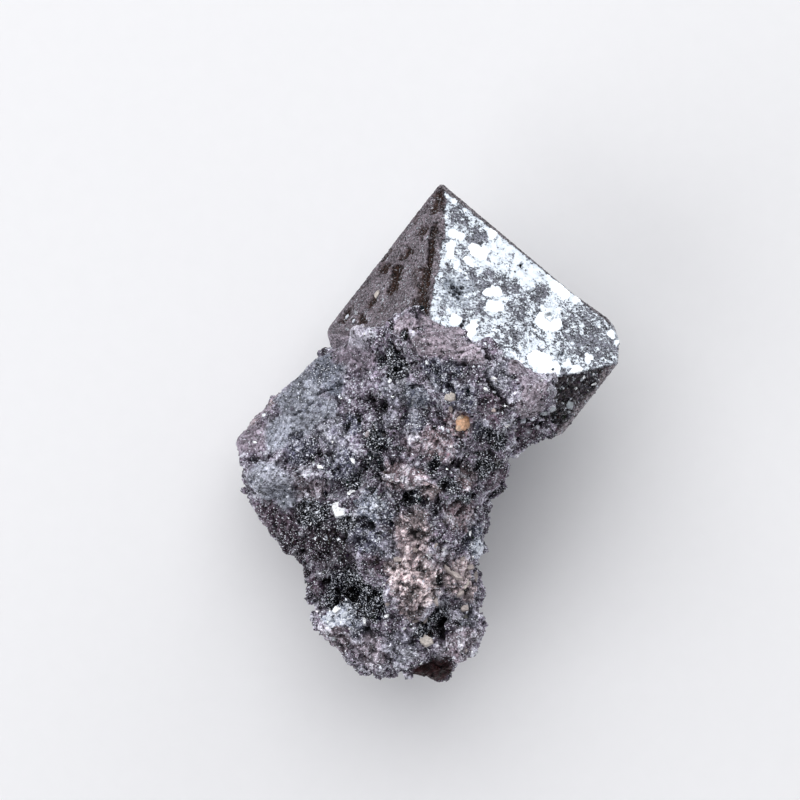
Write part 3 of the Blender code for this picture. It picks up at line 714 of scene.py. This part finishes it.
def ragged(points, reach, size):
    """The points moved about by noise, to give what is drawn by them a ragged outline."""
    return points + reach * np.stack([swells(points, size, seed) for seed in (21, 22, 23)], axis=1)


def greatest(mark, points, entries, edge):
    """The greatest at each point of a table's discs or streaks."""
    return np.maximum.reduce([mark(points, *entry, edge) for entry in entries])


def front_cover(points):
    """The share of bright metal on the front face."""
    cover = 0.68 + 0.22 * swells(points, 1.4, 5) + 0.14 * swells(points, 0.6, 6)
    loose = ragged(points, 0.45, 0.7)
    for x, y, radius, share in SPECKLED:
        weight = disc(loose, x, y, radius, radius * 0.9)
        cover = cover * (1.0 - weight) + (share + 0.08 * swells(points, 0.5, 8)) * weight
    return np.maximum(cover, 1.25 * greatest(disc, ragged(points, 0.2, 0.3), MIRROR_PATCHES, 0.18))


def face_looks(points, region, middle, small):
    """Bright metal and dull colour by face, the dull colour with painted light and shade on some faces,
    and which points are on the dull left side.
    """
    cover = 0.34 + 0.3 * swells(points, 3.2, 31) + 0.16 * middle
    tint = np.array(DULL["hidden"]) * (1.0 + 0.4 * middle[:, None])
    front = region == "front"
    cover[front] = front_cover(points[front])
    tint[front] = np.array(DULL["front"]) * (1.0 + 0.4 * small[front] + 0.3 * middle[front])[:, None]
    torn = ragged(points, 0.2, 0.5)
    side = (region == "left") | (front & (np.interp(torn[:, 1], *DULL_MARGIN) > torn[:, 0]))
    cover[side] = 0.16 + 0.1 * middle[side] + 0.08 * small[side]
    # Browner on the left side, partly a painted reflection of dark brown surroundings.
    tint[side] = np.array(DULL["left"]) * (1.0 + 0.3 * middle[side] + 0.3 * small[side])[:, None]
    # The lower right face is darkened as painted shade and the lower left lightened as painted light, by
    # the way each faces.
    for face, bright, fine, coarse in (("lower_right", 0.16, 0.2, 0.7), ("lower_left", 0.1, 0.0, 0.3)):
        here = region == face
        cover[here] = bright + fine * small[here]
        tint[here] = np.array(DULL[face]) * (1.0 + coarse * middle[here, None])
    return cover, tint, side


def crystal_looks(points):
    """For each point its share of bright metal, dull colour with painted light and shade in it, how deep
    it is pitted and how crumbly.
    """
    off = face_distances(points)
    region = np.array(list(FACES))[off.argmax(axis=1)]
    middle, small = swells(points, 1.2, 32), swells(points, 0.5, 33)
    cover, tint, side = face_looks(points, region, middle, small)

    brown = greatest(streak, ragged(points, 0.25, 0.4), BROWN_STREAKS, 0.22) * side
    blots = ease((swells(points, 0.9, 35) + 0.5 * small - 0.35) / 0.3) * (region == "left") * 0.6
    stain = np.maximum(brown, blots)
    cover -= 0.5 * stain
    tint = toned(tint, DULL["streaks"], stain)
    right = region == "lower_right"
    off_edge = off[:, list(FACES).index("under_right")]
    rusty = ease((RIM_WIDTH + off_edge + 0.4 * middle) / 0.5) * right
    tint = toned(tint, DULL["rim"], rusty)

    woolly = disc(points, *FIBROUS, 0.8) * (region == "front")
    cover += (0.47 + 0.25 * swells(points * (1.0, 3.0, 1.0), 0.4, 36) - cover) * woolly
    tint = toned(tint, DULL["fibres"], woolly)
    # Pits are sunk and painted black as the shade in them.
    pits = greatest(disc, ragged(points, 0.1, 0.25), PITS, 0.12) * (region == "front")
    cover -= 1.2 * pits
    tint = toned(tint, DULL["pits"], pits)
    edge_gap = -np.sort(off, axis=1)[:, -2]
    rim = ease((0.13 - edge_gap + 0.05 * small) / 0.08)
    cover -= 0.5 * rim * (cover < 1.0)
    tint = toned(tint, DULL["edges"], 0.6 * rim)
    return cover, tint, np.maximum(brown, pits), right * (1.0 - 0.85 * rusty)


def build_crystal():
    """The crystal with rough dull metal, sunk streaks and pits, and a crumbly lower right face."""
    points, faces = remeshed("octahedral_crystal", CRYSTAL_VOXEL)
    points = smoothed(points, faces, 1)
    cover, tint, sunk, crumbly = crystal_looks(points)
    normals = normals_of(points, faces)
    dice = np.random.default_rng(3)
    dull = 1.0 - np.clip(cover, 0.0, 1.0)
    lift = 0.03 * dull * dice.uniform(-1.0, 1.0, len(points)) - 0.03 * dull - 0.3 * sunk
    crumbs, _, _ = facets(points, 0.7, 0.3, 66)
    lift += crumbly * (crumbs + 0.1 * swells(points, 0.35, 67) - 0.1)
    points = keep_off_floor(points + normals * lift[:, None])

    mesh = painted_mesh("crystal", points, faces, crystal_material(), cover=cover, tint=tint)
    crystal = new_object("crystal", mesh)
    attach(crystal, "root")
    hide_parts("octahedral_crystal")
    return Surface(points, faces, tint, crumbly, 0.1 * crumbly)


# --- making the matrix


def zone_weights(points, ground):
    """Each zone's palette name and how strongly each point belongs to it."""
    moved = ragged(points, 0.35, 0.9)
    found = []
    for place, radius, name in ground.placed(ZONES):
        gap = np.linalg.norm((moved - place) * (1.0, 1.0, 0.55), axis=1)
        found.append((name, ease((radius * 1.15 - gap) / (radius * 0.45))))
    return found + hidden_zones(moved)


def hidden_zones(points):
    """The same minerals on the sides and the back, in patches of their own."""
    away = ease((HIDDEN_BELOW - points[:, 2]) / 4.0)
    found = []
    for seed, name in HIDDEN_ZONES.items():
        patch = swells(points, 3.4, seed) + 0.4 * swells(points, 1.1, seed + 10)
        found.append((name, ease((patch - 0.42) / 0.25) * away))
    return found


def fibres(points):
    """Noise drawn out along the slab's groove."""
    slant = math.radians(36.0)
    along = points[:, 0] * math.cos(slant) + points[:, 1] * math.sin(slant)
    across = points[:, 1] * math.cos(slant) - points[:, 0] * math.sin(slant)
    drawn = np.stack([along * 0.22, across, points[:, 2]], axis=1)
    return swells(drawn, 0.34, 54) + 0.6 * swells(drawn, 0.9, 55)


def zoned(points, ground):
    """For each point its colour, smoothness, share of grains, share of shining ones and how tan."""
    tint = np.ones((len(points), 3)) * PALETTE["ground"][0]
    numbers = np.ones((len(points), 3)) * PALETTE["ground"][1:]
    tan = np.zeros(len(points))
    for name, weight in zone_weights(points, ground):
        colour, *others = PALETTE[name]
        tint = toned(tint, colour, weight)
        numbers = toned(numbers, others, weight)
        tan += (name.startswith("tan") - tan) * weight
    small = 0.4 * swells(points, 1.1, 52) + 0.45 * swells(points, 0.5, 53)
    uneven = 0.25 * swells(points, 3.0, 51) + small * (1.0 - 0.4 * numbers[:, 0])
    uneven += 0.3 * numbers[:, 0] * fibres(points)
    return tint * np.exp(uneven)[:, None], *numbers.T, tan


def cooled(colours, share):
    """Colours drawn towards a cool grey as light as they are, each by its share: a painted sheen."""
    grey = colours.mean(axis=1, keepdims=True) * COOL
    return toned(colours, grey, share)


def clumps(points, size, lean, cleft, seed):
    """Height and shade of a mosaic of facets in their own tones, with painted shade in the sunk seams
    between them.
    """
    height, owner, gap = facets(ragged(points, 0.25 * size, 0.6 * size), size, lean, seed)
    seam = np.exp(-((gap / (0.1 * size)) ** 2))
    return height - cleft * seam, (0.62 + 0.85 * hashed(owner, seed + 13)) * (1.0 - 0.65 * seam)


def boxwork(points, ground, tan):
    """The height of thin walls round small pores, where the ground is tan, and their painted light and
    shade: lighter walls, darker pores.
    """
    moved = ragged(points, 0.16, 0.4)
    _, _, gap = cells_of(moved, 0.52, 64)
    wall = np.exp(-((gap / 0.13) ** 2))
    for place, radius in ground.placed(RINGS):
        off = np.linalg.norm(moved - place, axis=1)
        wall = np.where(off < radius * 1.25, np.exp(-(((off - radius) / 0.16) ** 2)), wall)
    wall *= 0.6 + 0.4 * swells(points, 0.8, 68)
    return tan * (0.34 * wall - 0.2), 1.0 + tan * (wall - 0.73)


def cavities(points, ground, rough):
    """How deep in a pore or a crease each point lies, from 0 to 1."""
    uneven = 0.65 * swells(points, 1.2, 70) + 0.45 * swells(points, 0.6, 71)
    depth = ease((uneven - 0.38) / 0.2) * rough
    for place, radius in ground.placed(HOLES):
        gap = np.linalg.norm(points - place, axis=1)
        depth = np.maximum(depth, ease((radius * 1.3 - gap) / radius))
    creased = greatest(streak, ragged(points, 0.2, 0.6), CREASES, 0.2)
    return np.maximum(depth, creased * (points[:, 2] > UPPER_SIDE))


def lapping_lumps(crystal_ground):
    """Ellipsoids on the crystal's upper side, as matrices of a unit ball."""
    found = []
    for x, y, along, across, thick, angle, lift in LAPPING:
        place, normal = crystal_ground.below(x, y)
        turn = Euler((0.0, 0.0, math.radians(angle))).to_matrix().to_4x4()
        size = Matrix.Diagonal((along, across, thick, 1.0))
        upright = normal.to_track_quat("Z", "Y").to_matrix().to_4x4()
        twist = Matrix.Rotation(upright.to_euler().z, 4, "Z").inverted()
        found.append(Matrix.Translation(place + Vector((0.0, 0.0, lift))) @ upright @ twist @ turn @ size)
    return found


def matrix_shape(crystal_ground):
    """The matrix's smooth shape as points and faces, with its narrow clefts filled."""
    points, faces = remeshed("matrix", MATRIX_VOXEL * 1.5, lapping_lumps(crystal_ground))
    points, faces = closed(points, faces, CLEFT, MATRIX_VOXEL)
    points = smoothed(points, faces, 4)
    for x, y, radius, along, up in PUSHED:
        points[:, :2] += disc(points, x, y, radius * 0.5, radius)[:, None] * np.array((along, up))
    return points, faces


def matrix_relief(points, ground, tint, rough, tan):
    """How far each point stands out, its colour with painted shade in seams, hollows and pores and painted
    light on the boxwork walls, and how deep in a pore or a crease it lies.
    """
    large, large_shade = clumps(points, 1.7, 0.26, 0.22, 61)
    small, small_shade = clumps(points, 0.7, 0.26, 0.13, 62)
    height = large * (0.15 + 0.85 * rough) + small * rough
    # Each facet's own tone, with painted shade in the sunk seams.
    tint = tint * (1.0 + rough * (1.0 - 0.7 * tan) * (large_shade * small_shade * 1.4 - 1.0))[:, None]
    grit = swells(points, 0.45, 63)
    height += grit * 0.09 * rough
    # Painted shade in the low spots of the grit, a little lighter elsewhere.
    tint *= (1.15 - 0.85 * ease((-0.22 - grit) / 0.25) * (0.3 + 0.7 * rough))[:, None]
    walls, shade = boxwork(points, ground, tan)
    height += SWELL + walls
    depth = cavities(points, ground, rough)
    height -= depth * PORE_DEPTH
    # Painted light and shade: the boxwork's walls lighter and its pores darker, and pores and creases
    # painted near black.
    tint *= (shade * (1.0 - 0.95 * depth))[:, None]
    return height, tint, depth


def build_matrix(crystal_ground):
    """The matrix. Gives its surface, and its normals before clumps and pores."""
    points, faces = matrix_shape(crystal_ground)
    ground = Ground(points, faces)
    tint, smooth, grain_share, spark, tan = zoned(points, ground)
    plain = tint.mean(axis=1)
    points = points + (smoothed(points, faces, SMOOTH_ROUNDS) - points) * smooth[:, None]
    normals = normals_of(points, faces)
    rough = 1.0 - smooth
    height, tint, depth = matrix_relief(points, ground, tint, rough, tan)
    # Facets lighter than their zone's colour turn cool grey, a painted sheen.
    tint = cooled(tint, 0.8 * ease(tint.mean(axis=1) / plain - 0.9) * (1.0 - tan))
    jitter = np.random.default_rng(5).normal(0.0, 1.0, points.shape) * (0.01 + 0.02 * rough[:, None])
    points = points + normals * height[:, None] + jitter
    for x, y, radius, deep in SUNKEN:
        points[:, 2] -= deep * disc(points, x, y, radius, radius) * (points[:, 2] > UPPER_SIDE)
    points = keep_off_floor(points)

    material = matrix_material()
    # The painted glints fade out in the pores.
    mesh = painted_mesh("matrix_ground", points, faces, material, tint=tint, spark=spark * (1.0 - depth))
    matrix = new_object("matrix_ground", mesh)
    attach(matrix, "root")
    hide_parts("matrix")
    return Surface(points, faces, tint, grain_share * (1.0 - 0.8 * depth), spark), normals


# --- making small crystals


def scattered(surface, count, dice):
    """Places over a surface by its share of grains, with their normals and a near vertex."""
    quads = surface.quads
    triangles = np.concatenate([quads[:, (0, 1, 2)], quads[:, (0, 2, 3)]])
    a, b, c = (surface.points[triangles[:, corner]] for corner in range(3))
    cross = np.cross(b - a, c - a)
    area = np.linalg.norm(cross, axis=1)
    weight = area * surface.share[triangles].mean(axis=1)
    chosen = dice.choice(len(triangles), size=count, p=weight / weight.sum())
    u, v = dice.random((2, count))
    u, v = np.where(u + v > 1.0, (1.0 - u, 1.0 - v), (u, v))
    place = a[chosen] + (b - a)[chosen] * u[:, None] + (c - a)[chosen] * v[:, None]
    return place, unit(cross[chosen]), triangles[chosen, 0]


def leaning_turns(normals, lean, dice):
    """Turns that stand grains on the surface, spun and off the upright by about lean."""
    up = unit(normals + lean * dice.normal(size=normals.shape))
    side = unit(np.cross(up, dice.normal(size=normals.shape)))
    return np.stack([side, np.cross(up, side), up], axis=2)


def octahedra(places, radii, stretch, turns):
    """Points and faces of many octahedra."""
    local = OCTAHEDRON_POINTS[None] * (radii[:, None] * stretch)[:, None, :]
    points = np.einsum("nij,nkj->nki", turns, local) + places[:, None, :]
    starts = np.arange(len(places)) * len(OCTAHEDRON_POINTS)
    faces = OCTAHEDRON_FACES[None] + starts[:, None, None]
    return points.reshape(-1, 3), faces.reshape(-1, 3)


def build_grains(name, surface, count, radii, lean, seed, material):
    """Small crystals on a surface, most of them darker or lighter than it, a few shining."""
    dice = np.random.default_rng(seed)
    place, normal, vertex = scattered(surface, count, dice)
    least, most = radii
    radius = least + (most - least) * dice.random(count) ** 2.0
    breadth, thickness = dice.uniform(0.6, 1.0, count), dice.uniform(0.35, 0.8, count)
    stretch = np.stack([np.ones(count), breadth, thickness], axis=1)
    place = place - normal * (radius * SET_IN)[:, None]
    points, faces = octahedra(place, radius, stretch, leaning_turns(normal, lean, dice))
    lightness = dice.normal(-0.12, 0.62, count)
    # Each grain takes the colour under it, painted shade included, and the lighter ones turn cool grey as
    # a painted sheen.
    colours = cooled(surface.tint[vertex] * np.exp(lightness)[:, None], 0.7 * ease(lightness / 0.6))
    shine = (dice.random(count) < surface.spark[vertex]) * dice.uniform(0.5, 1.0, count) ** 0.7
    colours = toned(colours, SHINE, shine)
    colours = np.clip(colours + dice.uniform(-0.008, 0.008, (count, 3)), 0.004, 0.9)
    carried(name, points, faces, np.repeat(colours, len(OCTAHEDRON_POINTS), axis=0), material)


# --- making loose chips


def hull(points):
    """The convex solid round a few points, as points and triangles."""
    solid = bmesh.new()
    for point in points:
        solid.verts.new(point)
    made = bmesh.ops.convex_hull(solid, input=solid.verts)
    inner = [item for item in made["geom_interior"] if isinstance(item, bmesh.types.BMVert)]
    bmesh.ops.delete(solid, geom=inner, context="VERTS")
    solid.verts.index_update()
    corners = np.array([vertex.co[:] for vertex in solid.verts])
    triangles = np.array([[vertex.index for vertex in face.verts] for face in solid.faces])
    solid.free()
    return corners, triangles


def joined(parts):
    """Many solids' points and triangles in one."""
    points, faces, start = [], [], 0
    for corners, triangles in parts:
        points.append(corners)
        faces.append(triangles + start)
        start += len(corners)
    return np.concatenate(points), np.concatenate(faces)


def chip_corners(along, across, through, dice):
    """Corners of a flat flake, or of a rounded crumb where it is thick."""
    size = (along, across, through)
    if through > 0.7 * along:
        return unit(dice.normal(size=(60, 3))) * dice.uniform(0.85, 1.0, (60, 1)) * size
    sides = 5 if along > 1.7 * across else 7
    turn = np.linspace(0.0, 2.0 * math.pi, sides + 1)[:-1] + dice.uniform(-0.35, 0.35, sides)
    rim = np.stack([np.cos(turn), np.sin(turn)], axis=1) * dice.uniform(0.7, 1.15, (sides, 1))
    top = np.concatenate([rim * 0.9, dice.uniform(0.7, 1.2, (sides, 1))], axis=1)
    bottom = np.concatenate([rim, np.full((sides, 1), -1.0)], axis=1)
    return np.concatenate([top, bottom]) * size


def chip_axes(angle, dice):
    """A chip's own axes. The flat sides of all chips face much the same way."""
    up = unit(np.array(CHIP_LIGHT) + 0.12 * dice.normal(size=3))
    side = np.array((math.cos(math.radians(angle)), math.sin(math.radians(angle)), 0.0))
    side = unit(side - up * (side @ up))
    return np.stack([side, np.cross(up, side), up])


def build_chips(grounds):
    """Loose chips, each on the upper one of the bodies below it."""
    dice = np.random.default_rng(91)
    parts, tints = [], []
    for x, y, along, across, through, angle, colour in CHIPS:
        places = [ground.below(x, y)[0] for ground in grounds]
        place = np.array(max(filter(None, places), key=lambda point: point.z))
        axes = chip_axes(angle, dice)
        local = chip_corners(along, across, through, dice)
        corners, triangles = hull(local @ axes + place + axes[2] * (through * 0.6 + CHIP_RISE))
        parts.append((corners, triangles))
        tints.append(np.tile(np.array(colour) * dice.uniform(0.9, 1.05), (len(corners), 1)))
    points, faces = joined(parts)
    carried("pale_chips", points, faces, np.concatenate(tints), chip_material())


def carried(name, points, faces, tint, material):
    """A piece, such as the grains or the chips, that rides on the one body."""
    piece = new_object(name, painted_mesh(name, keep_off_floor(points), faces, material, tint=tint))
    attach(piece, "root")


# --- setting the stage


def place_camera():
    data = bpy.data.cameras.new("camera")
    data.sensor_width = SENSOR_WIDTH
    data.lens = SENSOR_WIDTH * CAMERA_DISTANCE / VIEW_WIDTH
    data.clip_start = 0.05
    data.clip_end = 10.0
    camera = bpy.data.objects.new("camera", data)
    camera.location = to_frame(np.array(VIEW_CENTRE) + (0.0, 0.0, CAMERA_DISTANCE))
    bpy.context.scene.collection.objects.link(camera)
    bpy.context.scene.camera = camera


def area_light(name, place, size, power):
    """A softbox at place, in metres, turned to the specimen."""
    data = bpy.data.lights.new(name, "AREA")
    data.shape = "RECTANGLE"
    data.size, data.size_y = size
    data.energy = power
    lamp = bpy.data.objects.new(name, data)
    bpy.context.scene.collection.objects.link(lamp)
    lamp.location = place
    aim = Vector(to_frame(LIT_POINT)) - Vector(place)
    lamp.rotation_mode = "QUATERNION"
    lamp.rotation_quaternion = aim.to_track_quat("-Z", "Y")
    lamp.visible_camera = False


def studio_world():
    """Soft pale surroundings, brightest at the horizon."""
    world = bpy.data.worlds.new("studio")
    world.use_nodes = True
    nodes, links = world.node_tree.nodes, world.node_tree.links
    heading = nodes.new("ShaderNodeSeparateXYZ")
    links.new(nodes.new("ShaderNodeTexCoord").outputs["Generated"], heading.inputs[0])
    fall = nodes.new("ShaderNodeMapRange")
    for name, value in (("From Min", 0.0), ("From Max", 0.6), ("To Min", 0.82), ("To Max", 0.25)):
        fall.inputs[name].default_value = value
    links.new(heading.outputs["Z"], fall.inputs["Value"])
    background = nodes["Background"]
    background.inputs["Color"].default_value = (0.96, 0.97, 1.0, 1.0)
    links.new(fall.outputs["Result"], background.inputs["Strength"])
    bpy.context.scene.world = world


def light_stage():
    studio_world()
    for name, (place, size, power) in LIGHTS.items():
        area_light(name, place, size, power)
    bpy.context.scene.view_settings.view_transform = "Standard"


def lay_floor():
    shader = Shader("floor_paper")
    tooth = shader.noise(1.5)
    shader.bump(tooth, 0.01, 0.1)
    mesh = bpy.data.meshes.new("floor")
    signs = ((-1, -1), (1, -1), (1, 1), (-1, 1))
    mesh.from_pydata([(FLOOR_REACH * x, FLOOR_REACH * y, 0.0) for x, y in signs], [], [(0, 1, 2, 3)])
    mesh.materials.append(shader.finish(shader.mix(tooth, DARK_PAPER, LIGHT_PAPER), 0.9, 0.0))
    new_object("floor", mesh)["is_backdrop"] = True


# --- the whole scene


crystal_surface = build_crystal()
crystal_ground = Ground(crystal_surface.points, crystal_surface.quads)
matrix_surface, matrix_normals = build_matrix(crystal_ground)
matrix_ground = Ground(matrix_surface.points, matrix_surface.quads)
build_chips((crystal_ground, matrix_ground))

flat_lying = ease(np.abs(matrix_normals[:, 2]) / 0.5)  # large grains would roughen the outline
coarse_surface = matrix_surface._replace(share=matrix_surface.share * flat_lying)
bearers = {"grains_coarse": coarse_surface, "grains_crystal": crystal_surface}
grain_look = grain_material()
for grains, settings in GRAINS.items():
    build_grains(grains, bearers.get(grains, matrix_surface), *settings, grain_look)
place_camera()
light_stage()
lay_floor()

dressed_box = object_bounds()
boxes = {"cad": cad_box, "dressed": dressed_box}
{name: [list(corner) for corner in box] for name, box in boxes.items()}
